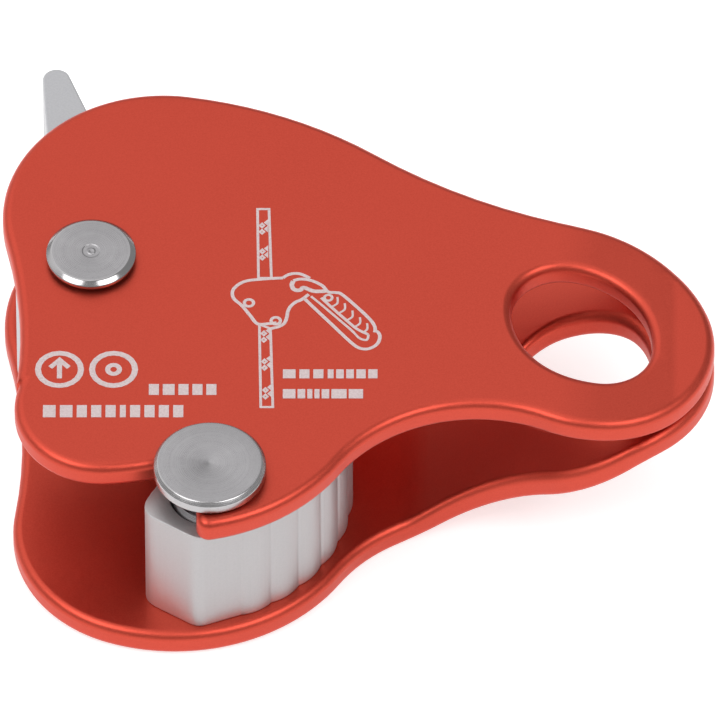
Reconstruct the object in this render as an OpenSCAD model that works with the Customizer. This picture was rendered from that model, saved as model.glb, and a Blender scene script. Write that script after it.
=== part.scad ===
// Rope-grab ascender: two stepped cheek plates, a sprung cam and a fixed anvil.
// The rope runs between the cam and the anvil, and a carabiner through the eye keeps the plates shut.
// Millimetres. Origin on the eye's axis, midway through the body; +X from the pivots to the eye,
// +Z towards the swinging front plate.

/* [Plates] */
// Thickness of both cheek plates
plate_t = 3.4; // [3:0.1:3.8]
// Clear gap between the plates, which takes the rope
gap = 16.4; // [16.2:0.1:17]
// How far the front plate steps down on its way to the eye
front_step = 1; // [0.8:0.1:1.5]
// Slope of the front plate's step in degrees
front_slope = 5; // [4:0.5:6]
// Slope of the rear plate's step in degrees
rear_slope = 28.7; // [27.5:0.1:30]
// Air left between the two plates at the eye
eye_air = 0.6; // [0.2:0.1:0.8]

/* [Eye] */
// Half the length of the oval eye through both plates
eye_long = 9.6; // [9:0.1:10]
// Half the width of the eye
eye_short = 7.5; // [7:0.1:7.9]
// Radius of the eye's two tighter ends
eye_end_r = 6; // [5.4:0.1:6.4]

/* [Pivot] */
// Radius of the pivot rivet's shank
pivot_r = 3; // [2.8:0.05:3.1]
// Radius of the pivot rivet's head
pivot_head_r = 5.35; // [5.1:0.05:5.8]
// Height of the pivot rivet's head
pivot_head_h = 1.1; // [1:0.1:1.6]
// Outer radius of the sleeve that spaces the plates
sleeve_r = 4; // [3.8:0.05:4.1]

/* [Latch pin] */
// Radius of the latch pin's head, which overhangs the slot
latch_head_r = 6.65; // [6:0.05:7]
// Height of the latch pin's head
latch_head_h = 1.8; // [1.4:0.1:2.4]
// Radius of the latch pin's neck, which the front plate's slot takes
neck_r = 2.9; // [2.4:0.1:3]
// Radius of the latch pin's body inside the anvil
latch_body_r = 4.6; // [4.4:0.1:4.8]
// Width of the slot beyond the neck, on each side
slot_play = 0.15; // [0.1:0.05:0.3]

/* [Cam] */
// Cam radius at right angles to the rope
cam_r = 14.3; // [13.8:0.05:14.6]
// Growth of the cam's spiral, the tangent of its bite angle
cam_growth = 0.477; // [0.42:0.01:0.5]
// How far the cam opens for the rope, in degrees
cam_travel = 50; // [40:1:50]
// Length of the thumb tail from the pivot to the middle of its tip
tail_len = 32.4; // [29:0.1:34]
// Radius of the thumb tail's tip
tail_tip_r = 1.65; // [1.4:0.05:2.2]

/* [Anvil] */
// Distance from the latch pin to the anvil's rope face
rope_face = 6.1; // [5.8:0.1:6.2]
// Number of ribs on the anvil's outer side
rib_count = 7; // [5:1:7]
// Radius of each rib
rib_r = 5; // [4:0.1:6]
// Height of the anvil above the rear plate
anvil_h = 16.1; // [15.5:0.1:16.1]

/* [Spring] */
// Wire radius of the cam's torsion spring
wire_r = 0.5; // [0.4:0.05:0.5]
// Turns of the torsion spring
spring_turns = 3; // [2:1:3]

/* [Hidden] */

fine = 96;             // segments of a full circle
arc_step = 3;          // degrees between the points of an outline's arc
eps = 0.01;
run_fit = 0.05;        // radial clearance of a running fit
air = 0.05;            // axial clearance between a moving piece and its neighbour

half_gap = gap / 2;
half_body = half_gap + plate_t;
pivot = [-58.25, 10.05];
latch = [-43.95, -23.6];
latch_reach = norm(latch - pivot);

// The outline that both plates share, as arcs met end to end: radius (minus is hollow) and sweep
outline_start = [14.96, 2.63];
outline_heading = 109.29;
outline_arcs = [
    [20, 57.02],       // shoulder of the eye end
    [-72, 22.25],      // long hollow
    [52, 27.07],       // crown
    [19, 111.97],      // corner over the pivot
    [-68, 21.58],      // waist
    [17, 77.94],       // latch lobe, the corner over the mouth
    [23.5, 76.91],     // latch lobe, under the latch pin
    [-19.5, 81.38],    // throat
    [14, 134.3]        // round end of the eye
];
latch_lobe = 5;        // indices of the lobe's two arcs in the list above
latch_under = 6;

// The eye's long axis, and the radius of its flatter sides
eye_turn = -50;
eye_side_r = ((eye_long - eye_end_r) ^ 2 + eye_short ^ 2 - eye_end_r ^ 2) / (2 * (eye_short - eye_end_r));

// Where each plate's sloping stretch meets its flat end, and the bend radii at its two ends
front_fold_x = 10.95;
rear_fold_x = 7.35;
front_bends = [60, 12];
rear_bends = [10, 10];
rear_step = gap - front_step - eye_air;

// Front plate's mouth, through which the latch pin's neck leaves as the plate swings
mouth_reach = 33.1;    // from the pivot to the edge of the plate over the mouth
mouth_corner_r = 10.5;
finger_tip_x = latch.x - 1.6;
finger_tip_r = 1.5;

// Rivet tails: countersunk into the rear plate and finished flush
tail_r = 4.4;
tail_depth = 1.5;

washer_t = 0.3;
thrust_t = 0.5;
cam_half_h = half_gap - thrust_t - 2 * air;
cam_face_turn = -30;   // direction from the pivot to the rope face, square to the rope
cam_end_turn = -57;    // direction where the spiral ends
cam_start_turn = 15;   // direction where the spiral runs into the tail
cam_end_r = 2.5;
hub_r = 9;
tail_turn = 97.9;
tail_root = [0.1, 11.4];
tail_root_r = 4.8;
groove_r = 0.45;

spring_r = 5.4;        // mean radius of the coil
recess_r = 6.8;
recess_floor = -half_gap + 4.6;
stop_r = 1.2;
stop_reach = 10.5;
stop_turn = -70;
stop_slot_depth = 3.5;

rope_turn = 60;        // direction of the rope across the plates
anvil_end = 25.2;      // how far the anvil runs up the rope from the latch pin
rib_centre = [10.2, 10.9];
rib_crest_r = 21.25;
rib_start = -122.3;    // direction of the first rib
rib_pitch = 11.4;      // degrees
anvil_core_r = 20.2;
anvil_play = 0.3;     // radial gap between the anvil's bore and the latch pin

screw_r = 2;
screw_head_r = 3.8;
screw_head_h = 1.9;
screw_len = 14;
screw_spots = [[12.5, -2], [20, 0.5]];

// --- Plane geometry ---------------------------------------------------------------------------

function turned(a) = [cos(a), sin(a)];
function unit(v) = v / norm(v);

// Point and heading at the start of arc i
function arc_start(arcs, i, p, h) = i == 0 ? [p.x, p.y, h] :
    let (s = arc_start(arcs, i - 1, p, h),
         r = arcs[i - 1][0],
         turn = sign(r) * arcs[i - 1][1],
         c = [s.x, s.y] + r * turned(s.z + 90),
         e = c - r * turned(s.z + turn + 90))
    [e.x, e.y, s.z + turn];

function arc_centre(arcs, i, p, h) =
    let (s = arc_start(arcs, i, p, h)) [s.x, s.y] + arcs[i][0] * turned(s.z + 90);

// Points round a closed chain of arcs
function chain(arcs, p, h) = [
    for (i = [0:len(arcs) - 1])
        let (s = arc_start(arcs, i, p, h),
             r = arcs[i][0],
             n = ceil(arcs[i][1] / arc_step),
             c = arc_centre(arcs, i, p, h))
        for (k = [0:n - 1]) c - r * turned(s.z + sign(r) * arcs[i][1] * k / n + 90)
];

// A polygon's points [x, y, radius] with each corner rounded to its radius
function corner(a, b, c, r) =
    let (u = unit(a - b), v = unit(c - b), half = acos(u * v) / 2,
         o = b + unit(u + v) * r / sin(half),
         p = b + u * r / tan(half) - o, q = b + v * r / tan(half) - o,
         a0 = atan2(p.y, p.x), d = atan2(q.y, q.x) - a0,
         sweep = d > 180 ? d - 360 : d < -180 ? d + 360 : d,
         n = ceil(abs(sweep) / 8))
    r == 0 ? [b] : [for (k = [0:n]) o + r * turned(a0 + sweep * k / n)];

function rounded(pts) = [
    for (i = [0:len(pts) - 1])
        let (n = len(pts), a = pts[(i + n - 1) % n], b = pts[i], c = pts[(i + 1) % n])
        each corner([a.x, a.y], [b.x, b.y], [c.x, c.y], b.z)
];

// Where two circles cross; side is 1 or -1
function crossing(c1, r1, c2, r2, side) =
    let (d = norm(c2 - c1), u = (c2 - c1) / d, x = (d * d + r1 * r1 - r2 * r2) / (2 * d))
    c1 + x * u + side * sqrt(r1 * r1 - x * x) * [-u.y, u.x];

// Points along an arc from direction a0 to a1
function arc(c, r, a0, a1) =
    let (n = max(1, ceil(abs(a1 - a0) / arc_step))) [for (k = [0:n]) c + r * turned(a0 + (a1 - a0) * k / n)];

// Direction from one circle to another, and the angle off it at which a straight flank touches both
function way(c1, c2) = atan2((c2 - c1).y, (c2 - c1).x);
function lean(c1, r1, c2, r2) = acos((r1 - r2) / norm(c2 - c1));

module ring(r_in, r_out, z, h) {
    translate([0, 0, z]) difference() {
        cylinder(r = r_out, h = h, $fn = fine);
        translate([0, 0, -eps]) cylinder(r = r_in, h = h + 2 * eps, $fn = fine);
    }
}

// --- Plates -----------------------------------------------------------------------------------

// Middle line of a stepped plate as [x, z, heading], for a step up (or down, when rise is minus)
function step_line(z0, rise, slope, fold_x, bends) =
    let (s = sign(rise), a = slope,
         low_x = fold_x - abs(rise) / tan(a),
         t0 = bends[0] * tan(a / 2), t1 = bends[1] * tan(a / 2),
         n = 6)
    [
        [-90, z0, 0],
        for (k = [0:n]) let (b = a * k / n)
            [low_x - t0 + bends[0] * sin(b), z0 + s * bends[0] * (1 - cos(b)), s * b],
        for (k = [n:-1:0]) let (b = a * k / n)
            [fold_x + t1 - bends[1] * sin(b), z0 + rise - s * bends[1] * (1 - cos(b)), s * b],
        [40, z0 + rise, 0]
    ];

function side_of(line, off) = [for (p = line) [p.x, p.y] + off * turned(p.z + 90)];
function reversed(v) = [for (i = [len(v) - 1:-1:0]) v[i]];

module stepped(line) {
    rotate([90, 0, 0]) translate([0, 0, -60]) linear_extrude(height = 120)
        polygon(concat(side_of(line, -plate_t / 2), reversed(side_of(line, plate_t / 2))));
}

module plate_outline() {
    polygon(chain(outline_arcs, outline_start, outline_heading));
}

// Oval of four arcs round the origin
module eye() {
    lean = atan2(eye_side_r - eye_short, eye_long - eye_end_r);
    rotate(eye_turn) polygon(chain(
        [[eye_end_r, 2 * lean], [eye_side_r, 180 - 2 * lean], [eye_end_r, 2 * lean], [eye_side_r, 180 - 2 * lean]],
        [eye_long - eye_end_r, 0] + eye_end_r * turned(-lean), 90 - lean));
}

module mouth_corner() {
    lobe_c = arc_centre(outline_arcs, latch_lobe, outline_start, outline_heading);
    lobe_r = outline_arcs[latch_lobe][0];
    k = crossing(lobe_c, lobe_r - mouth_corner_r, pivot, mouth_reach - mouth_corner_r, 1);
    a = atan2((k - lobe_c).y, (k - lobe_c).x);
    b = atan2((k - pivot).y, (k - pivot).x);
    m = ((a + 360) % 360 + (b + 360) % 360) / 2;
    reach = 2 * mouth_corner_r;
    difference() {
        polygon([k, k + reach * turned(a), k + reach * turned(m), k + reach * turned(b)]);
        translate(k) circle(mouth_corner_r, $fn = fine);
    }
}

// Rounds the lower corner of the finger's tip
module finger_corner() {
    c = arc_centre(outline_arcs, latch_under, outline_start, outline_heading);
    r = finger_tip_r;
    x = finger_tip_x + r;
    k = [x, c.y - sqrt((outline_arcs[latch_under][0] - r) ^ 2 - (x - c.x) ^ 2)];
    a = atan2((k - c).y, (k - c).x) + 360;
    difference() {
        polygon([k, k + 3 * r * turned(180), k + 3 * r * turned((a + 180) / 2), k + 3 * r * turned(a)]);
        translate(k) circle(r, $fn = fine);
    }
}

// Slot and mouth that let the front plate swing off the latch pin
module mouth() {
    difference() {
        translate([finger_tip_x - 60, pivot.y - 80]) square([60, 70]);
        translate(pivot) circle(mouth_reach, $fn = 2 * fine);
    }
    translate(latch) circle(neck_r + slot_play, $fn = fine);
    intersection() {
        difference() {
            translate(pivot) circle(latch_reach + neck_r + slot_play, $fn = 2 * fine);
            translate(pivot) circle(latch_reach - neck_r - slot_play, $fn = 2 * fine);
        }
        polygon([pivot, latch + 6 * unit(latch - pivot), [finger_tip_x - 2, latch.y - 8],
                 [finger_tip_x - 2, latch.y + 8]]);
    }
}

module countersink(r, head_r, depth) {
    translate([0, 0, -half_body - eps])
        cylinder(r1 = head_r + eps, r2 = r, h = depth + eps, $fn = fine);
}

module hole(r, z, h) {
    translate([0, 0, z - eps]) cylinder(r = r, h = h + 2 * eps, $fn = fine);
}

module rear_plate() {
    color([0.79, 0.26, 0.2]) difference() {
        intersection() {
            stepped(step_line(-half_gap - plate_t / 2, rear_step, rear_slope, rear_fold_x, rear_bends));
            translate([0, 0, -half_body]) linear_extrude(height = 2 * half_body) difference() {
                plate_outline();
                eye();
            }
        }
        for (p = [pivot, latch]) translate(p) {
            hole(pivot_r, -half_body, plate_t);
            countersink(pivot_r, tail_r, tail_depth);
        }
        at_screws() {
            hole(screw_r, -half_body, plate_t);
            countersink(screw_r, screw_head_r, screw_head_h);
        }
        at_stop() hole(stop_r, -half_gap - 3, 3);
        at_rear_leg() hole(wire_r + 0.15, -half_gap - 2.5, 2.5);
    }
}

module front_plate() {
    color([0.79, 0.3, 0.21]) difference() {
        intersection() {
            stepped(step_line(half_gap + plate_t / 2, -front_step, front_slope, front_fold_x, front_bends));
            translate([0, 0, 0]) linear_extrude(height = half_body) difference() {
                plate_outline();
                eye();
                mouth();
                mouth_corner();
                finger_corner();
            }
        }
        translate(pivot) hole(pivot_r + run_fit, 0, half_body);
    }
}

// --- Pivot ------------------------------------------------------------------------------------

module rivet_tail() {
    translate([0, 0, -half_body]) cylinder(r1 = tail_r, r2 = pivot_r, h = tail_depth, $fn = fine);
}

// Turned head with a chamfered rim
module head(r, z, h, chamfer) {
    translate([0, 0, z]) rotate_extrude($fn = fine)
        polygon([[0, 0], [r - 0.3, 0], [r, 0.3], [r, h - chamfer], [r - chamfer, h], [0, h]]);
}

module pivot_rivet() {
    color([0.72, 0.71, 0.7]) translate(pivot) {
        rivet_tail();
        translate([0, 0, -half_body]) cylinder(r = pivot_r, h = 2 * half_body + washer_t + 2 * air + eps,
                                               $fn = fine);
        head(pivot_head_r, half_body + washer_t + 2 * air, pivot_head_h, 0.5);
    }
}

module pivot_sleeve() {
    color([0.6, 0.6, 0.62]) translate(pivot)
        ring(pivot_r + run_fit, sleeve_r, -half_gap, gap - air);
}

module pivot_washer() {
    color([0.6, 0.6, 0.62]) translate(pivot)
        ring(pivot_r + run_fit, pivot_head_r - 0.7, half_body + air, washer_t);
}

module front_thrust_washer() {
    color([0.85, 0.82, 0.7]) translate(pivot)
        ring(sleeve_r + run_fit, hub_r - 0.2, half_gap - air - thrust_t, thrust_t);
}

module rear_thrust_ring() {
    color([0.85, 0.82, 0.7]) translate(pivot)
        ring(recess_r + 0.1, hub_r - 0.1, -half_gap, thrust_t);
}

// --- Cam --------------------------------------------------------------------------------------

function cam_reach(a) = cam_r * exp(-cam_growth * (a - cam_face_turn) * PI / 180);

// Middle of the round that ends the spiral, set in along the spiral's own normal
function cam_end() =
    let (k = cam_growth, n = unit([1, k]), a = cam_end_turn)
    (cam_reach(a) - cam_end_r * n.x) * turned(a) - cam_end_r * n.y * turned(a + 90);

module cam_plan() {
    hub = [0, 0];
    tip = tail_len * turned(tail_turn);
    end = cam_end();
    tail_way = way(tail_root, tip);
    tail_lean = lean(tail_root, tail_root_r, tip, tail_tip_r);
    root_back = tail_root + tail_root_r * turned(tail_way + tail_lean);
    hub_leave = way(hub, root_back) + acos(hub_r / norm(root_back));
    end_turn = way(hub, end) - lean(hub, hub_r, end, cam_end_r) + 360;
    polygon(concat(
        [for (a = [cam_end_turn:arc_step:cam_start_turn]) cam_reach(a) * turned(a)],
        [tail_root + tail_root_r * turned(tail_way - tail_lean)],
        arc(tip, tail_tip_r, tail_way - tail_lean, tail_way + tail_lean),
        [root_back],
        arc(hub, hub_r, hub_leave, end_turn),
        arc(end, cam_end_r, end_turn, cam_end_turn + atan(cam_growth) + 357)));
}

module cam_grooves() {
    for (a = [cam_end_turn + 2:9:6])
        translate((cam_reach(a) + 0.05) * turned(a)) circle(groove_r, $fn = 32);
}

// Arc slot for the stop pin
module stop_slot() {
    w = stop_r + 0.1;
    far = stop_turn + cam_travel;
    translate([0, 0, -eps]) linear_extrude(height = stop_slot_depth + eps) polygon(concat(
        arc([0, 0], stop_reach + w, stop_turn, far),
        arc(stop_reach * turned(far), w, far + 10, far + 170),
        arc([0, 0], stop_reach - w, far, stop_turn),
        arc(stop_reach * turned(stop_turn), w, stop_turn + 190, stop_turn + 350)));
}

module cam() {
    color([0.78, 0.77, 0.77]) translate(pivot) difference() {
        translate([0, 0, -cam_half_h]) linear_extrude(height = 2 * cam_half_h) difference() {
            cam_plan();
            cam_grooves();
        }
        hole(sleeve_r + run_fit, -cam_half_h, 2 * cam_half_h);
        hole(recess_r, -cam_half_h, recess_floor + cam_half_h - eps);
        translate([0, 0, -cam_half_h]) stop_slot();
        translate([spring_r, 0, 0]) hole(wire_r + 0.15, recess_floor - eps, 3);
    }
}

module at_stop() {
    translate(pivot) translate(stop_reach * turned(stop_turn)) children();
}

module cam_stop_pin() {
    color([0.6, 0.6, 0.62]) at_stop() translate([0, 0, -half_gap - 3])
        cylinder(r = stop_r, h = 3 + thrust_t + 2 * air + stop_slot_depth - 0.4, $fn = fine);
}

// Where the spring's rear leg enters the rear plate
module at_rear_leg() {
    translate(pivot) translate([spring_r, 0, 0]) children();
}

// Torsion spring: a helix whose ends turn along the axis, one into each neighbour
module cam_spring() {
    sides = 8;
    per_turn = 24;
    z0 = -half_gap + wire_r + 0.15;
    z1 = recess_floor - wire_r - 0.15;
    rings = spring_turns * per_turn;
    points = [for (i = [0:rings], s = [0:sides - 1])
        let (a = 360 * i / per_turn, b = 360 * s / sides, r = spring_r + wire_r * cos(b))
        [r * cos(a), r * sin(a), z0 + (z1 - z0) * i / rings + wire_r * sin(b)]];
    walls = [for (i = [0:rings - 1], s = [0:sides - 1])
        let (t = (s + 1) % sides, p = i * sides, q = p + sides)
        [p + s, p + t, q + t, q + s]];
    ends = [[for (s = [sides - 1:-1:0]) s], [for (s = [0:sides - 1]) rings * sides + s]];
    color([0.5, 0.5, 0.52]) translate(pivot) {
        polyhedron(points, concat(walls, ends));
        translate([spring_r, 0, -half_gap - 2]) cylinder(r = wire_r, h = z0 + half_gap + 2, $fn = 24);
        translate([spring_r, 0, z1]) cylinder(r = wire_r, h = 2.6, $fn = 24);
        for (z = [z0, z1]) translate([spring_r, 0, z]) sphere(r = wire_r, $fn = 24);
    }
}

// --- Latch pin and anvil ----------------------------------------------------------------------

module latch_pin() {
    shoulder_z = -half_gap + anvil_h + 0.2;
    color([0.72, 0.71, 0.7]) translate(latch) {
        rivet_tail();
        translate([0, 0, -half_body]) cylinder(r = pivot_r, h = plate_t + eps, $fn = fine);
        translate([0, 0, -half_gap]) rotate_extrude($fn = fine)
            polygon([[0, 0], [latch_body_r, 0], [latch_body_r, anvil_h - 0.4],
                     [latch_body_r - 0.6, anvil_h + 0.2], [0, anvil_h + 0.2]]);
        translate([0, 0, shoulder_z - eps])
            cylinder(r = neck_r, h = half_body + 0.2 - shoulder_z + 2 * eps, $fn = fine);
        head(latch_head_r, half_body + 0.2, latch_head_h, 0.6);
    }
}

// Anvil in its own plane: the rope runs along +X past the face at +Y, and the ribs look to -Y
module anvil_plan() {
    polygon(rounded([[-6.5, rope_face, 2.2], [-6.9, -2.2, 1.3], [-2.7, -5.6, 0], [2, -5.6, 0],
                     [anvil_end, -5, 0], [anvil_end, rope_face, 1.5]]));
    intersection() {
        union() {
            translate(rib_centre) circle(anvil_core_r, $fn = 2 * fine);
            for (i = [0:rib_count - 1])
                translate(rib_centre + (rib_crest_r - rib_r) * turned(rib_start + i * rib_pitch))
                    circle(rib_r, $fn = fine);
        }
        translate([-2.7, rib_centre.y - rib_crest_r - 1])
            square([anvil_end + 2.7, rib_crest_r - rib_centre.y + rope_face - 1]);
    }
}

module at_screws() {
    translate(latch) rotate(rope_turn) for (p = screw_spots) translate(p) children();
}

module anvil_block() {
    color([0.8, 0.79, 0.79]) difference() {
        translate(latch) rotate(rope_turn) translate([0, 0, -half_gap])
            linear_extrude(height = anvil_h) anvil_plan();
        translate(latch) hole(latch_body_r + anvil_play, -half_gap, anvil_h);
        at_screws() hole(screw_r, -half_gap, screw_len - plate_t + 0.5);
    }
}

module anvil_screws() {
    color([0.45, 0.45, 0.47]) at_screws() difference() {
        union() {
            translate([0, 0, -half_body])
                cylinder(r1 = screw_head_r, r2 = screw_r, h = screw_head_h, $fn = fine);
            translate([0, 0, -half_body]) cylinder(r = screw_r, h = screw_len, $fn = fine);
        }
        translate([0, 0, -half_body - eps]) cylinder(r = 1.5, h = 1.5, $fn = 6);
    }
}

rear_plate();
front_plate();
cam();
anvil_block();
pivot_rivet();
pivot_sleeve();
pivot_washer();
front_thrust_washer();
rear_thrust_ring();
cam_spring();
cam_stop_pin();
latch_pin();
anvil_screws();
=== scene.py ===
import math

import bmesh
import bpy
import numpy as np
from mathutils import Matrix, Vector


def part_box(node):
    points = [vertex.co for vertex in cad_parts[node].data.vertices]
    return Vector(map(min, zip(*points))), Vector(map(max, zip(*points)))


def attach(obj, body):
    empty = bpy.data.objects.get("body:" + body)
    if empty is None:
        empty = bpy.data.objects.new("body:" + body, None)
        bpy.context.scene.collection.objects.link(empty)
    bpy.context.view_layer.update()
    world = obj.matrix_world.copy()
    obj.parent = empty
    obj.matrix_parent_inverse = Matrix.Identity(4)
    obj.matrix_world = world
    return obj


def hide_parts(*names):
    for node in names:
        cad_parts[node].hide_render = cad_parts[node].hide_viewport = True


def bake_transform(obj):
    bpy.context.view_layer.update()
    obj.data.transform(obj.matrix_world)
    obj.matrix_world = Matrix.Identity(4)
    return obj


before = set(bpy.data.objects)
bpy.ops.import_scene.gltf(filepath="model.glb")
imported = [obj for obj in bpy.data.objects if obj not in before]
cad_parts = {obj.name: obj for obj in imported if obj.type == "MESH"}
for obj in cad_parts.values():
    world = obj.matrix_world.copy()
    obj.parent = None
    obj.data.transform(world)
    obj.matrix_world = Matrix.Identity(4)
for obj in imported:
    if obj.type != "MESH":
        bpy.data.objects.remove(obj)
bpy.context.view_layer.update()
MM = 0.001
SAME_PLACE = 5e-7       # CAD vertices closer than this are one
WELD = 2e-6             # and so are a new mesh's
SHORTEST = 0.03 * MM    # an outline's steps are longer than this
FLAT_X = -60 * MM       # a place where both plates are flat
LOOK_UP = 0.85          # least rise of a normal that counts as looking up
SAME_STEP = 1e-5        # shortest run that has a slope of its own
SAME_SLOPE = 0.005      # least change of slope that is a bend

# --- Sizes, all read from the CAD nodes --------------------------------------------------------


def middle(node):
    low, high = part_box(node)
    return (low + high) / 2


pivot = middle("pivot_rivet")
latch = middle("latch_pin")
front_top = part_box("front_plate")[1].z
rear_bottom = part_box("rear_plate")[0].z
rear_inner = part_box("anvil_block")[0].z
anvil_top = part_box("anvil_block")[1].z
scene = bpy.context.scene

# --- Meshes ------------------------------------------------------------------------------------


def link(ob):
    scene.collection.objects.link(ob)
    return ob


def evaluated(ob):
    """Mesh of an object as its curve settings or modifiers make it."""
    bpy.context.view_layer.update()
    return bpy.data.meshes.new_from_object(ob.evaluated_get(bpy.context.evaluated_depsgraph_get()))


def patch(node, up):
    """Places and triangles of the largest run of a node's faces that look up (or down)."""
    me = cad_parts[node].data
    me.calc_loop_triangles()
    places, order, same = {}, [], []
    for v in me.vertices:
        k = tuple(round(c / SAME_PLACE) for c in v.co)
        if k not in places:
            places[k] = len(order)
            order.append(np.array(v.co, float))
        same.append(places[k])
    faces = []
    for t in me.loop_triangles:
        f = [same[i] for i in t.vertices]
        n = np.cross(order[f[1]] - order[f[0]], order[f[2]] - order[f[0]])
        size = np.linalg.norm(n)
        if len(set(f)) == 3 and size > 0 and up * n[2] / size > LOOK_UP:
            faces.append((f, size))
    by_point = {}
    for i, (f, _) in enumerate(faces):
        for p in f:
            by_point.setdefault(p, []).append(i)
    seen, best, best_size = set(), [], 0
    for i in range(len(faces)):
        if i in seen:
            continue
        run, todo, size = [], [i], 0
        seen.add(i)
        while todo:
            j = todo.pop()
            run.append(faces[j][0])
            size += faces[j][1]
            for p in faces[j][0]:
                for k in by_point[p]:
                    if k not in seen:
                        seen.add(k)
                        todo.append(k)
        if size > best_size:
            best, best_size = run, size
    return order, best


def rims(places, faces, smallest=0.0):
    """Closed loops round a patch, as lists of (x, y); loops narrower than smallest are left out."""
    edges = {(f[i], f[(i + 1) % 3]) for f in faces for i in range(3)}
    follow = {}
    for a, b in edges:
        if (b, a) not in edges:
            follow.setdefault(a, []).append(b)
    loops = []
    for start in sorted(follow):
        while follow.get(start):
            loop, here = [start], follow[start].pop()
            while here != start:
                loop.append(here)
                here = follow[here].pop()
            points = [places[i][:2] for i in loop]
            kept = [p for i, p in enumerate(points)
                    if np.linalg.norm(p - points[i - 1]) > SHORTEST]
            if np.ptp([p[0] for p in kept]) > smallest:
                loops.append(kept)
    return loops


def profile_of(node, up):
    """Height of a node's upper (or lower) side along X."""
    places, faces = patch(node, up)
    points = sorted({(round(places[i][0], 7), round(places[i][2], 7)) for f in faces for i in f})
    xs = np.array([p[0] for p in points])
    zs = np.array([p[1] for p in points])
    return lambda x: float(np.interp(x, xs, zs))


def bends(node):
    """Where a node's upper and lower sides change slope along X."""
    out = set()
    for up in (1, -1):
        places, faces = patch(node, up)
        ends = sorted({(round(places[i][0], 7), round(places[i][2], 7)) for f in faces for i in f})
        for a, b, c in zip(ends, ends[1:], ends[2:]):
            if min(b[0] - a[0], c[0] - b[0]) > SAME_STEP:
                before = (b[1] - a[1]) / (b[0] - a[0])
                after = (c[1] - b[1]) / (c[0] - b[0])
                if abs(before - after) > SAME_SLOPE:
                    out.add(round(b[0], 5))
    return sorted(out)


def eased(loop, corner, groove):
    """A closed outline with its corners rounded off and the bottoms of its grooves kept tight."""
    p = np.array([*loop, loop[0]], float)
    along = np.concatenate([[0], np.cumsum(np.linalg.norm(np.diff(p, axis=0), axis=1))])
    n = int(along[-1] / (0.1 * MM))
    at = np.arange(n) * along[-1] / n
    q = np.stack([np.interp(at, along, p[:, k]) for k in (0, 1)], axis=1)

    def smooth(reach):
        w = np.exp(-0.5 * (np.minimum(at, along[-1] - at) / reach) ** 2)
        w = np.fft.fft(w / w.sum())
        return np.stack([np.fft.ifft(np.fft.fft(q[:, k]) * w).real for k in (0, 1)], axis=1)

    wide, tight = smooth(corner), smooth(groove)
    t = np.roll(tight, -1, axis=0) - np.roll(tight, 1, axis=0)
    x, y = tight.T
    turn = np.sign((x * np.roll(y, -1) - y * np.roll(x, -1)).sum())
    out = turn * np.stack([t[:, 1], -t[:, 0]], axis=1) / np.linalg.norm(t, axis=1)[:, None]
    inset = np.maximum(((tight - wide) * out).sum(axis=1), 0)
    return [tuple(v) for v in tight - out * inset[:, None]]


def slab(loops, thick, r, steps):
    """Mesh of a flat plate through loops, centred on z = 0, with both rims rounded to r."""
    cu = bpy.data.curves.new("outline", "CURVE")
    cu.dimensions = "2D"
    cu.fill_mode = "BOTH"
    cu.bevel_depth = r
    cu.bevel_resolution = steps
    cu.extrude = thick / 2 - r
    cu.offset = -r
    for loop in loops:
        sp = cu.splines.new("POLY")
        sp.points.add(len(loop) - 1)
        for p, q in zip(sp.points, loop):
            p.co = (q[0], q[1], 0, 1)
        sp.use_cyclic_u = True
    ob = link(bpy.data.objects.new("outline", cu))
    me = evaluated(ob)
    bpy.data.objects.remove(ob)
    bm = bmesh.new()
    bm.from_mesh(me)
    bmesh.ops.remove_doubles(bm, verts=bm.verts, dist=WELD)
    return bm


def piece(name, bm, body, material, replaces=(), sharp=40, weighted=True, at=None):
    """Turns a bmesh into a named piece that rides on a body, with its own origin on at's axis."""
    bmesh.ops.recalc_face_normals(bm, faces=bm.faces)
    me = bpy.data.meshes.new(name)
    bm.to_mesh(me)
    bm.free()
    me.shade_smooth()
    me.set_sharp_from_angle(angle=math.radians(sharp))
    me.materials.append(material)
    ob = link(bpy.data.objects.new(name, me))
    if at:
        ob.location = (at.x, at.y, 0)
    if weighted:
        ob.modifiers.new("even shading", "WEIGHTED_NORMAL").keep_sharp = True
    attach(ob, body)
    if replaces:
        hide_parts(*replaces)
    return ob


def soft(points, steps=6):
    """A profile's points (across, up, radius) with each corner rounded."""
    out = []
    for i, (x, z, r) in enumerate(points):
        if r == 0 or i in (0, len(points) - 1):
            out.append((x, z))
            continue
        b = Vector((x, z))
        u = (Vector(points[i - 1][:2]) - b).normalized()
        v = (Vector(points[i + 1][:2]) - b).normalized()
        half = u.angle(v) / 2
        run = r / math.tan(half)
        centre = b + (u + v).normalized() * (r / math.sin(half))
        p, q = b + u * run - centre, b + v * run - centre
        for k in range(steps + 1):
            w = p.lerp(q, k / steps)
            out.append(tuple(centre + w.normalized() * r))
    return out


def lathe(points, around=128):
    """Turned mesh about Z from a profile of (radius, height, rounding), in millimetres."""
    bm = bmesh.new()
    rings = []
    for x, z in soft(points):
        if x < 1e-6:
            rings.append([bm.verts.new((0, 0, z * MM))])
        else:
            rings.append([bm.verts.new((x * MM * math.cos(a), x * MM * math.sin(a), z * MM))
                          for a in (2 * math.pi * i / around for i in range(around))])
    for a, b in zip(rings, rings[1:]):
        for i in range(around):
            j = (i + 1) % around
            if len(a) == 1 and len(b) > 1:
                bm.faces.new((a[0], b[j], b[i]))
            elif len(b) == 1 and len(a) > 1:
                bm.faces.new((a[i], a[j], b[0]))
            elif len(a) > 1:
                bm.faces.new((a[i], a[j], b[j], b[i]))
    return bm


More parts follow.
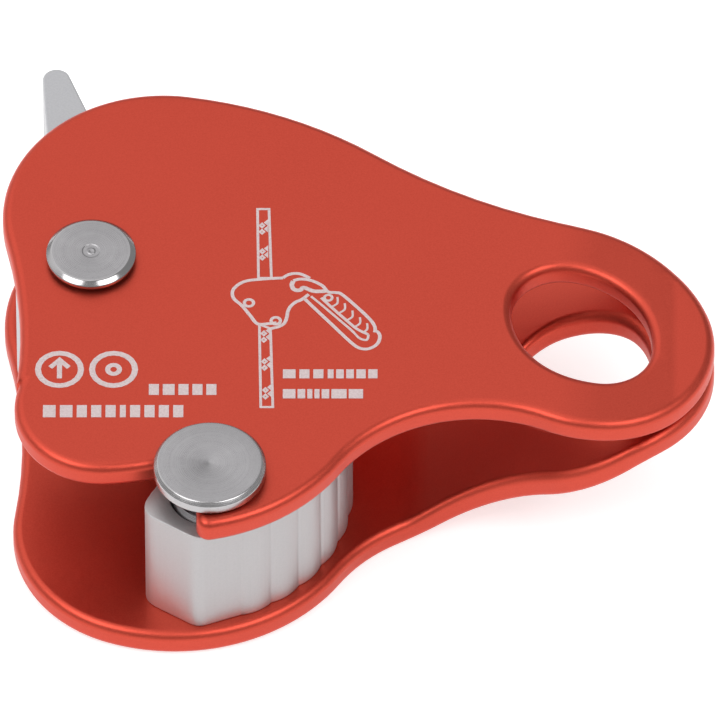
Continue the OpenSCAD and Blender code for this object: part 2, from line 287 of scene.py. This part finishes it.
def turned(name, points, at, body, material, rim, flat, replaces):
    """A turned piece whose origin is on its axis; beyond the radius flat it has rim's material."""
    ob = piece(name, lathe(points), body, material, replaces, sharp=35, weighted=False, at=at)
    ob.data.materials.append(rim)
    for p in ob.data.polygons:
        if p.center.xy.length > flat * MM:
            p.material_index = 1


# --- Materials ---------------------------------------------------------------------------------


class Nodes:
    """Short hand for building a material's nodes."""

    def __init__(self, name):
        self.mat = bpy.data.materials.new(name)
        self.mat.use_nodes = True
        self.tree = self.mat.node_tree
        self.shader = self.tree.nodes["Principled BSDF"]
        self.where = self.add("ShaderNodeTexCoord").outputs["Object"]

    def add(self, kind, **values):
        node = self.tree.nodes.new(kind)
        for k, v in values.items():
            if k in node.inputs:
                node.inputs[k].default_value = v
            else:
                setattr(node, k, v)
        return node

    def wire(self, a, b):
        self.tree.links.new(a, b)

    def put(self, value, name):
        socket = self.shader.inputs[name]
        if hasattr(value, "is_linked"):
            self.wire(value, socket)
        else:
            socket.default_value = value

    def noise(self, scale, detail=2.0, stretch=(1, 1, 1), rough=0.5):
        m = self.add("ShaderNodeMapping")
        m.inputs["Scale"].default_value = stretch
        self.wire(self.where, m.inputs["Vector"])
        n = self.add("ShaderNodeTexNoise", Scale=scale, Detail=detail, Roughness=rough)
        self.wire(m.outputs["Vector"], n.inputs["Vector"])
        return n.outputs["Fac"]

    def span(self, value, low, high, lo, hi):
        """value's stretch from lo to hi, as low to high."""
        r = self.add("ShaderNodeMapRange")
        for k, v in zip(("From Min", "From Max", "To Min", "To Max"), (lo, hi, low, high)):
            r.inputs[k].default_value = v
        self.wire(value, r.inputs["Value"])
        return r.outputs["Result"]

    def maths(self, op, a, b=None):
        m = self.add("ShaderNodeMath", operation=op)
        for i, v in enumerate((a, b)):
            if v is None:
                continue
            if hasattr(v, "is_linked"):
                self.wire(v, m.inputs[i])
            else:
                m.inputs[i].default_value = v
        return m.outputs[0]

    def blend(self, amount, a, b):
        m = self.add("ShaderNodeMix", data_type="RGBA")
        self.wire(amount, m.inputs["Factor"])
        for v, i in ((a, 6), (b, 7)):
            if hasattr(v, "is_linked"):
                self.wire(v, m.inputs[i])
            else:
                m.inputs[i].default_value = (*v, 1)
        return m.outputs[2]

    def bump(self, height, strength, distance, below=None):
        b = self.add("ShaderNodeBump", Strength=strength, Distance=distance)
        self.wire(height, b.inputs["Height"])
        if below is not None:
            self.wire(below, b.inputs["Normal"])
        return b.outputs["Normal"]


def anodised(name, base, dark):
    """Bead-blasted aluminium, dyed and sealed: a fine sparkling grain under a satin sheen."""
    n = Nodes(name)
    grain = n.noise(5200, 3, rough=0.65)
    cloud = n.noise(60, 3)
    colour = n.blend(n.span(grain, 0.15, 0.85, 0.3, 0.7), dark, base)
    colour = n.blend(n.span(cloud, 0, 0.12, 0.35, 0.7), colour, [min(1, c * 1.25) for c in base])
    n.put(colour, "Base Color")
    n.put(1.0, "Metallic")
    rough = n.maths("ADD", n.span(grain, 0.36, 0.46, 0.3, 0.7),
                    n.span(cloud, -0.02, 0.03, 0.3, 0.7))
    n.put(rough, "Roughness")
    fine = n.bump(grain, 0.22, 0.00003)
    n.put(n.bump(n.noise(1500, 2), 0.08, 0.00005, fine), "Normal")
    return n.mat


def blasted(name, base, dark, rough, streak=0.0, metallic=0.9):
    """Matt natural aluminium or cast steel, with drawing marks along Z where streak is set."""
    n = Nodes(name)
    grain = n.noise(4200, 3, rough=0.6)
    tone = n.span(grain, 0.1, 0.9, 0.3, 0.7)
    normal = n.bump(grain, 0.25, 0.00004)
    if streak:
        lines = n.noise(2600, 3, stretch=(1, 1, 0.02), rough=0.7)
        tone = n.maths("ADD", n.maths("MULTIPLY", tone, 1 - streak),
                       n.maths("MULTIPLY", lines, streak))
        normal = n.bump(lines, 0.3 * streak, 0.00004, normal)
    n.put(n.blend(tone, dark, base), "Base Color")
    n.put(metallic, "Metallic")
    n.put(n.span(grain, rough - 0.04, rough + 0.06, 0.3, 0.7), "Roughness")
    n.put(normal, "Normal")
    return n.mat


def lathed(name, base, dark, rough, rings=0.16, aniso=0.7):
    """Steel turned on a lathe: rings about the piece's own axis, and the sheen that they give."""
    n = Nodes(name)
    parts = n.add("ShaderNodeSeparateXYZ")
    n.wire(n.where, parts.inputs["Vector"])
    x, y = parts.outputs["X"], parts.outputs["Y"]
    reach = n.maths("SQRT", n.maths("ADD", n.maths("MULTIPLY", x, x), n.maths("MULTIPLY", y, y)))
    ring = n.add("ShaderNodeTexNoise", noise_dimensions="1D", Scale=14000.0, Detail=2.0)
    n.wire(reach, ring.inputs["W"])
    wide = n.add("ShaderNodeTexNoise", noise_dimensions="1D", Scale=1700.0, Detail=3.0)
    n.wire(reach, wide.inputs["W"])
    grain = n.noise(900, 4)
    tone = n.maths("ADD", n.maths("MULTIPLY", wide.outputs["Fac"], 0.35),
                   n.maths("MULTIPLY", grain, 0.25))
    tone = n.maths("ADD", n.maths("MULTIPLY", ring.outputs["Fac"], 0.4), tone)
    n.put(n.blend(n.span(tone, 0, 1, 0.35, 0.65), dark, base), "Base Color")
    n.put(1.0, "Metallic")
    n.put(n.span(tone, rough - 0.05, rough + 0.06, 0.35, 0.65), "Roughness")
    n.put(aniso, "Anisotropic")
    tangent = n.add("ShaderNodeTangent", direction_type="RADIAL", axis="Z")
    n.wire(tangent.outputs["Tangent"], n.shader.inputs["Tangent"])
    n.put(n.bump(ring.outputs["Fac"], rings, 0.00002), "Normal")
    return n.mat


red = anodised("anodised_red", (0.635, 0.089, 0.056), (0.53, 0.062, 0.040))
silver = blasted("extruded_aluminium", (0.51, 0.495, 0.50), (0.43, 0.415, 0.42), 0.45,
                 streak=0.35, metallic=0.8)
cast = blasted("cast_steel", (0.57, 0.57, 0.585), (0.48, 0.48, 0.50), 0.42)
face = lathed("turned_steel", (0.41, 0.40, 0.41), (0.32, 0.31, 0.32), 0.28)
polished = lathed("polished_rim", (0.44, 0.43, 0.435), (0.40, 0.39, 0.395), 0.15,
                  rings=0.05, aniso=0.0)
ground = lathed("ground_rim", (0.50, 0.49, 0.495), (0.43, 0.42, 0.425), 0.25,
                rings=0.05, aniso=0.0)
steel = lathed("plain_steel", (0.45, 0.45, 0.47), (0.34, 0.34, 0.36), 0.32, aniso=0.3)
spring_steel = blasted("spring_steel", (0.42, 0.42, 0.44), (0.3, 0.3, 0.32), 0.3)
nylon = blasted("moulded_nylon", (0.74, 0.71, 0.62), (0.66, 0.63, 0.54), 0.5, metallic=0.0)
mark = blasted("etched_mark", (0.70, 0.60, 0.60), (0.55, 0.44, 0.44), 0.6, metallic=0.3)

# --- Plates: rounded rims, then bent to the CAD's own upper and lower sides --------------------

PLATE_RIM = 1.1 * MM
SMALL_HOLE = 12 * MM     # a narrower hole is filled by its pin, so it is left out


def plate(name, node, body, rim):
    loops = rims(*patch(node, 1), smallest=SMALL_HOLE)
    upper, lower = profile_of(node, 1), profile_of(node, -1)
    thick = upper(FLAT_X) - lower(FLAT_X)
    bm = slab(loops, thick, rim, steps=6)
    low = min(v.co.x for v in bm.verts)
    high = max(v.co.x for v in bm.verts)
    for x in bends(node):
        if low < x < high:
            bmesh.ops.bisect_plane(bm, geom=bm.verts[:] + bm.edges[:] + bm.faces[:], dist=1e-7,
                                   plane_co=(x, 0, 0), plane_no=(1, 0, 0))
    for v in bm.verts:
        share = v.co.z / thick + 0.5
        v.co.z = lower(v.co.x) * (1 - share) + upper(v.co.x) * share
    return piece(name, bm, body, red, [node], sharp=60)


rear_cheek = plate("rear_cheek", "rear_plate", "rear_body", PLATE_RIM)
plate("front_cheek", "front_plate", "front_body", PLATE_RIM)


def countersunk(ob, node):
    """Opens the plate's rear face round the conical heads of a node's two screws."""
    clear, out, deep, narrowing = 0.03 * MM, 0.1 * MM, 1.9 * MM, 1.8 * MM
    p = np.array([tuple(v.co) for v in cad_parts[node].data.vertices])
    c = (p - (p.max(axis=0) + p.min(axis=0)) / 2)[:, :2]
    side = c @ np.linalg.eigh(np.cov(c.T))[1][:, -1]
    bm = bmesh.new()
    for group in (p[side < 0], p[side > 0]):
        low, high = group.min(axis=0), group.max(axis=0)
        x, y = (low[:2] + high[:2]) / 2
        r = (high[0] - low[0]) / 2 + clear
        at = Matrix.Translation((x, y, low[2] + (deep - out) / 2))
        bmesh.ops.create_cone(bm, cap_ends=True, segments=96, depth=deep + out,
                              radius1=r + out * narrowing / deep, radius2=r - narrowing, matrix=at)
    me = bpy.data.meshes.new("cutter")
    bm.to_mesh(me)
    bm.free()
    cutter = link(bpy.data.objects.new("cutter", me))
    ob.modifiers[0].show_viewport = False
    cut = ob.modifiers.new("cut", "BOOLEAN")
    cut.object = cutter
    me = evaluated(ob)
    ob.modifiers.remove(cut)
    ob.modifiers[0].show_viewport = True
    me.shade_smooth()
    me.set_sharp_from_angle(angle=math.radians(40))
    ob.data = me
    bpy.data.objects.remove(cutter)


countersunk(rear_cheek, "anvil_screws")

# --- Anvil and cam -----------------------------------------------------------------------------


def block(name, node, body, material, rim, corner, groove):
    low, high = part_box(node)
    loops = [eased(loop, corner, groove) for loop in rims(*patch(node, 1))]
    bm = slab(loops, high.z - low.z, rim, steps=3)
    bmesh.ops.translate(bm, verts=bm.verts, vec=(0, 0, (low.z + high.z) / 2))
    return piece(name, bm, body, material, [node], sharp=30)


block("ribbed_anvil", "anvil_block", "rear_body", silver, 0.15 * MM,
      corner=0.55 * MM, groove=0.08 * MM)


def coat(node, material):
    """Gives a CAD node that stays its material."""
    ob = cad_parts[node]
    ob.data.materials.clear()
    ob.data.materials.append(material)
    return ob


cam = coat("cam", cast)
cam.modifiers.new("join", "WELD").merge_threshold = 0.002 * MM
flat = cam.modifiers.new("flat", "DECIMATE")
flat.decimate_type = "DISSOLVE"
flat.angle_limit = math.radians(0.5)
soften = cam.modifiers.new("soften", "BEVEL")
soften.width = 0.2 * MM
soften.segments = 3
soften.limit_method = "ANGLE"
soften.angle_limit = math.radians(40)
soften.use_clamp_overlap = False
cam.modifiers.new("shade", "WEIGHTED_NORMAL").keep_sharp = True

# --- Pins: profiles of (radius, height, rounding), in millimetres ------------------------------

PROUD = 0.03    # millimetres that a pin's tail stands out of the rear plate, so that it shows


def head(node):
    """Radius and top of a pin's head, in millimetres."""
    low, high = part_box(node)
    return (high.x - low.x) / 2 / MM, high.z / MM


bottom = rear_bottom / MM - PROUD
tail = [(0, bottom, 0), (4.4, bottom, 0.12), (3.0, bottom + 1.5, 0)]
inner, seat = rear_inner / MM, anvil_top / MM
r, top = head("latch_pin")
turned("shouldered_latch_pin", tail + [
    (3.0, inner, 0), (4.6, inner, 0), (4.6, seat - 0.4, 0), (4.05, seat + 0.2, 0),
    (2.9, seat + 0.2, 0), (2.9, top - 1.8, 0), (r - 0.3, top - 1.8, 0.1), (r, top - 1.5, 0.1),
    (r, top - 0.5, 0.3), (r - 0.45, top, 0.3), (0.25, top, 0), (0, top - 0.06, 0)],
    latch, "rear_body", face, ground, r - 0.5, ["latch_pin"])

r, top = head("pivot_rivet")
turned("round_headed_pivot", tail + [
    (3.0, top - 1.1, 0), (r - 0.15, top - 1.1, 0.05), (r, top - 0.75, 0.15), (r, top - 0.45, 0.2),
    (r - 0.6, top, 0.4), (1.1, top - 0.02, 0.05), (0.95, top - 0.1, 0.05), (0.55, top - 0.1, 0.05),
    (0.4, top - 0.02, 0.04), (0.2, top - 0.03, 0), (0, top - 0.1, 0)],
    pivot, "rear_body", face, polished, r - 1.1, ["pivot_rivet"])

# --- Spring: a wound wire with a straight upright leg at each end ------------------------------


def wound_spring():
    low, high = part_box("cam_spring")
    wire, turns, around, leg = 0.5 * MM, 3, 36, 4
    reach = (high.x - low.x) / 2 - wire
    z0, z1 = rear_inner + wire + 0.15 * MM, high.z - 2.6 * MM
    centre = Vector((pivot.x, pivot.y, 0))
    path = [centre + Vector((reach, 0, low.z + (z0 - low.z) * k / leg)) for k in range(leg)]
    for i in range(turns * around + 1):
        a = 2 * math.pi * i / around
        z = z0 + (z1 - z0) * i / (turns * around)
        path.append(centre + Vector((reach * math.cos(a), reach * math.sin(a), z)))
    path += [centre + Vector((reach, 0, z1 + (high.z - z1) * k / leg)) for k in range(1, leg + 1)]
    cu = bpy.data.curves.new("wire", "CURVE")
    cu.dimensions = "3D"
    cu.bevel_depth = wire
    cu.bevel_resolution = 4
    cu.use_fill_caps = True
    sp = cu.splines.new("POLY")
    sp.points.add(len(path) - 1)
    for p, q in zip(sp.points, path):
        p.co = (*q, 1)
    ob = link(bpy.data.objects.new("wire", cu))
    me = evaluated(ob)
    bpy.data.objects.remove(ob)
    me.name = "wound_spring"
    me.shade_smooth()
    me.materials.clear()
    me.materials.append(spring_steel)
    ob = link(bpy.data.objects.new("wound_spring", me))
    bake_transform(ob)
    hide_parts("cam_spring")


wound_spring()

for node in ("pivot_sleeve", "pivot_washer", "cam_stop_pin", "anvil_screws"):
    coat(node, steel)
for node in ("front_thrust_washer", "rear_thrust_ring"):
    coat(node, nylon)

# --- Etched marks on the front plate: a plain picture of use, with bars in place of lettering --

MARK_W = 0.42


def ribbon(points, width, closed):
    """Flat outline strip through points in millimetres, as (left, right) rails."""
    p = [Vector(q) for q in points]
    n = len(p)
    left, right = [], []
    for i in range(n):
        a = p[i - 1] if closed or i else p[i]
        b = p[(i + 1) % n] if closed or i < n - 1 else p[i]
        d1 = (p[i] - a).normalized() if (p[i] - a).length else (b - p[i]).normalized()
        d2 = (b - p[i]).normalized() if (b - p[i]).length else d1
        t = (d1 + d2).normalized()
        s = Vector((-t.y, t.x)) * (width / 2 / max(0.5, t.dot(d1)))
        left.append(p[i] + s)
        right.append(p[i] - s)
    return left, right


def smooth_line(points, steps=6):
    """Catmull-Rom curve through points."""
    p = [Vector(q) for q in points]
    p = [p[0], *p, p[-1]]
    out = []
    for a, b, c, d in zip(p, p[1:], p[2:], p[3:]):
        for k in range(steps):
            t = k / steps
            out.append(0.5 * ((2 * b) + (c - a) * t + (2 * a - 5 * b + 4 * c - d) * t * t
                              + (3 * b - a - 3 * c + d) * t ** 3))
    return [*out, p[-1]]


marks = bmesh.new()
MARKS_PIVOT = Vector((-58.25, 10.05))   # the pivot's place in the marks' own coordinates
mark_at = pivot.xy / MM - MARKS_PIVOT
levels = [0]                            # each strip is a trace higher than the one before


def strip(points, width=MARK_W, closed=False):
    """A thin raised strip on the front plate, through points in millimetres."""
    left, right = ribbon(points, width, closed)
    levels[0] += 1
    z = [front_top, front_top + (0.01 + 0.0003 * levels[0]) * MM]
    n = len(left)
    lo_l, hi_l, lo_r, hi_r = ([marks.verts.new((*((q + mark_at) * MM), h)) for q in side]
                              for side in (left, right) for h in z)
    for i in range(n if closed else n - 1):
        j = (i + 1) % n
        for a, b in ((hi_l, hi_r), (lo_r, lo_l), (lo_l, hi_l), (hi_r, lo_r)):
            marks.faces.new((a[i], a[j], b[j], b[i]))
    if not closed:
        for i in (0, n - 1):
            marks.faces.new((lo_l[i], hi_l[i], hi_r[i], lo_r[i]))


def ring(x, y, r, r_in):
    turn = [2 * math.pi * i / 20 for i in range(20)]
    mid = (r + r_in) / 2
    strip([(x + mid * math.cos(a), y + mid * math.sin(a)) for a in turn], r - r_in, closed=True)


def bars(x, y, high, lengths, gap=0.45):
    """A row of plain blocks, one for each character of a line of print."""
    for length in lengths:
        strip([(x, y + high / 2), (x + length, y + high / 2)], high)
        x += length + gap


def twist(x, y):
    """One crossing of a rope's strands: two diamonds and the nicks beside them."""
    for k in (0.5, -0.5):
        strip([(x - 0.26, y + k), (x, y + k + 0.3), (x + 0.26, y + k), (x, y + k - 0.3)],
              0.26, closed=True)
        strip([(x + 0.62, y + k + 0.75), (x + 0.36, y + k + 0.45), (x + 0.62, y + k + 0.15)],
              0.24, closed=True)


strip([(-38.52, 17.94), (-37.16, 17.94), (-36.83, 7.04), (-38.36, 7.04)], 0.32, closed=True)
strip([(-38.22, -0.3), (-36.9, -0.9), (-36.57, -13.25), (-37.99, -13.25)], 0.32, closed=True)
for x, y in ((-37.97, 14.84), (-37.92, 10.75), (-37.68, -2.2), (-37.58, -6.6), (-37.45, -11.1)):
    twist(x, y)
strip(smooth_line([(-35.44, 7.04), (-37.0, 6.95), (-38.74, 6.76), (-39.61, 6.62),
                   (-40.48, 6.21), (-41.26, 5.38), (-41.45, 4.5), (-41.2, 3.69), (-40.29, 2.65),
                   (-39.33, 1.15), (-38.45, -0.17), (-37.15, -0.17), (-36.19, -0.01)]))
strip(smooth_line([(-36.79, -0.91), (-35.93, -0.63), (-35.27, -0.08), (-34.98, 0.8),
                   (-34.86, 1.72), (-34.55, 2.53), (-33.94, 3.22), (-33.25, 3.62),
                   (-32.38, 4.45)]))
strip(smooth_line([(-35.44, 7.04), (-34.92, 7.5), (-34.22, 7.74), (-33.44, 7.69),
                   (-32.65, 7.27), (-32.27, 6.99)]))
ring(-39.47, 3.11, 0.74, 0.36)
ring(-36.28, 0.29, 0.74, 0.36)
strip(smooth_line([(-34.22, 6.62), (-33.43, 6.86), (-32.47, 6.76), (-31.6, 6.39),
                   (-30.73, 5.77), (-30.07, 4.84), (-29.16, 4.73), (-28.46, 4.45),
                   (-26.72, 2.53), (-25.15, 0.57), (-24.59, -0.47), (-24.48, -1.16)]))
strip(smooth_line([(-24.71, -1.28), (-24.19, -1.46), (-23.93, -2.2), (-24.18, -3.24),
                   (-24.88, -3.93), (-25.75, -4.16), (-26.7, -3.77), (-27.92, -2.43),
                   (-29.67, -0.24), (-31.41, 1.91), (-32.81, 3.69)]))
strip(smooth_line([(-34.22, 6.55), (-34.4, 6.0), (-34.25, 5.4), (-33.86, 5.1), (-33.37, 5.15),
                   (-32.96, 5.51), (-31.77, 4.96), (-30.38, 4.96)]), 0.55)
strip(smooth_line([(-32.12, 4.15), (-30.72, 2.65), (-28.97, 0.68), (-27.23, -1.28),
                   (-26.36, -2.43), (-25.49, -2.71), (-25.28, -1.86)]), 0.3)
strip(smooth_line([(-30.9, 3.92), (-29.68, 2.42), (-28.28, 0.8), (-26.71, -0.93),
                   (-25.32, -1.86)]), 0.36)
for x, y in ((-28.98, 4.03), (-28.11, 3.05), (-27.2, 1.9), (-26.3, 0.85), (-25.45, -0.1)):
    strip(smooth_line([(x, y), (x, y - 0.95), (x - 0.6, y - 1.5)]), 0.26)
ring(-30.06, 3.92, 0.62, 0.3)

ring(-61.85, -7.35, 2.9, 2.2)
strip([(-61.85, -8.75), (-61.85, -6.25)], 0.6)
strip([(-62.95, -7.05), (-61.85, -5.85), (-60.75, -7.05)], 0.6)
ring(-55.45, -7.35, 2.9, 2.2)
ring(-55.45, -7.35, 1.0, 0.4)
bars(-51.25, -11.35, 1.7, [1.2, 1.4, 1.2, 1.2, 1.2])
bars(-63.75, -14.85, 1.9, [1.5, 1.5, 1.2, 1.2, 1.2, 0.7, 1.2, 1.2, 1.2, 1.2], 0.5)
bars(-35.4, -8.75, 1.4, [1.5, 1.2, 1.2])
bars(-30.1, -8.75, 1.4, [0.7, 0.9, 0.9, 1.1, 1.1], 0.3)
bars(-35.4, -11.9, 1.45, [1.5, 0.9, 0.6, 0.6, 0.9, 1.8, 1.7], 0.25)
piece("etched_marks", marks, "front_body", mark, weighted=False)

# --- Floor, light and camera -------------------------------------------------------------------


def floor(half=3.0):
    corners = [(-half, -half, 0), (half, -half, 0), (half, half, 0), (-half, half, 0)]
    me = bpy.data.meshes.new("floor")
    me.from_pydata(corners, [], [(0, 1, 2, 3)])
    n = Nodes("pale_floor")
    n.put(n.blend(n.noise(30, 2), (0.60, 0.60, 0.60), (0.64, 0.64, 0.64)), "Base Color")
    n.put(0.9, "Roughness")
    n.put((1, 1, 1, 1), "Emission Color")
    n.put(0.62, "Emission Strength")
    me.materials.append(n.mat)
    ob = link(bpy.data.objects.new("floor", me))
    ob.location.z = rear_bottom - 0.05 * MM


floor()


def heading(azimuth, elevation):
    """Unit vector; azimuth 0 looks to -Y, 90 to +X."""
    a, e = math.radians(azimuth), math.radians(elevation)
    return Vector((math.sin(a) * math.cos(e), -math.cos(a) * math.cos(e), math.sin(e)))


def studio(base, lobes):
    """World light: an even glow with soft patches, (azimuth, elevation, inner, outer, gain)."""
    world = bpy.data.worlds.new("studio")
    scene.world = world
    world.use_nodes = True
    tree = world.node_tree
    back = tree.nodes["Background"]
    where = tree.nodes.new("ShaderNodeTexCoord").outputs["Generated"]
    total = None
    for azimuth, elevation, inner, outer, gain in lobes:
        d = tree.nodes.new("ShaderNodeVectorMath")
        d.operation = "DOT_PRODUCT"
        tree.links.new(where, d.inputs[0])
        d.inputs[1].default_value = heading(azimuth, elevation)
        r = tree.nodes.new("ShaderNodeMapRange")
        r.interpolation_type = "SMOOTHSTEP"
        for k, v in zip(("From Min", "From Max", "To Min", "To Max"),
                        (math.cos(math.radians(outer)), math.cos(math.radians(inner)), 0, gain)):
            r.inputs[k].default_value = v
        tree.links.new(d.outputs["Value"], r.inputs["Value"])
        add = tree.nodes.new("ShaderNodeMath")
        add.operation = "ADD"
        tree.links.new(r.outputs["Result"], add.inputs[0])
        if total is None:
            add.inputs[1].default_value = base
        else:
            tree.links.new(total, add.inputs[1])
        total = add.outputs[0]
    tree.links.new(total, back.inputs["Strength"])
    back.inputs["Color"].default_value = (1, 1, 1, 1)


def softbox(name, azimuth, elevation, distance, size, watts):
    li = bpy.data.lights.new(name, "AREA")
    li.shape = "RECTANGLE"
    li.size, li.size_y = size
    li.energy = watts
    ob = link(bpy.data.objects.new(name, li))
    target = Vector((-0.03, 0, 0))
    ob.location = target + heading(azimuth, elevation) * distance
    ob.rotation_euler = (target - ob.location).to_track_quat("-Z", "Y").to_euler()
    ob.visible_camera = False


studio(0.42, [
    (225, 50, 26, 46, 0.72),
    (-56, 54, 15, 19, 3.6),
    (50, 54, 15, 19, 3.6),
])
softbox("overhead", 200, 70, 0.9, (0.5, 0.5), 0.12)

camera = bpy.data.cameras.new("camera")
camera.sensor_width = 36
camera.lens = 1440
camera.clip_end = 20
camera_ob = link(bpy.data.objects.new("camera", camera))
camera_ob.matrix_world = Matrix((
    (0.999994, 0.000000, 0.003517, -0.014280),
    (0.002310, 0.754172, -0.656673, -2.245289),
    (-0.002653, 0.656677, 0.754167, 2.583507),
    (0, 0, 0, 1)))
scene.camera = camera_ob
scene.view_settings.view_transform = "Standard"
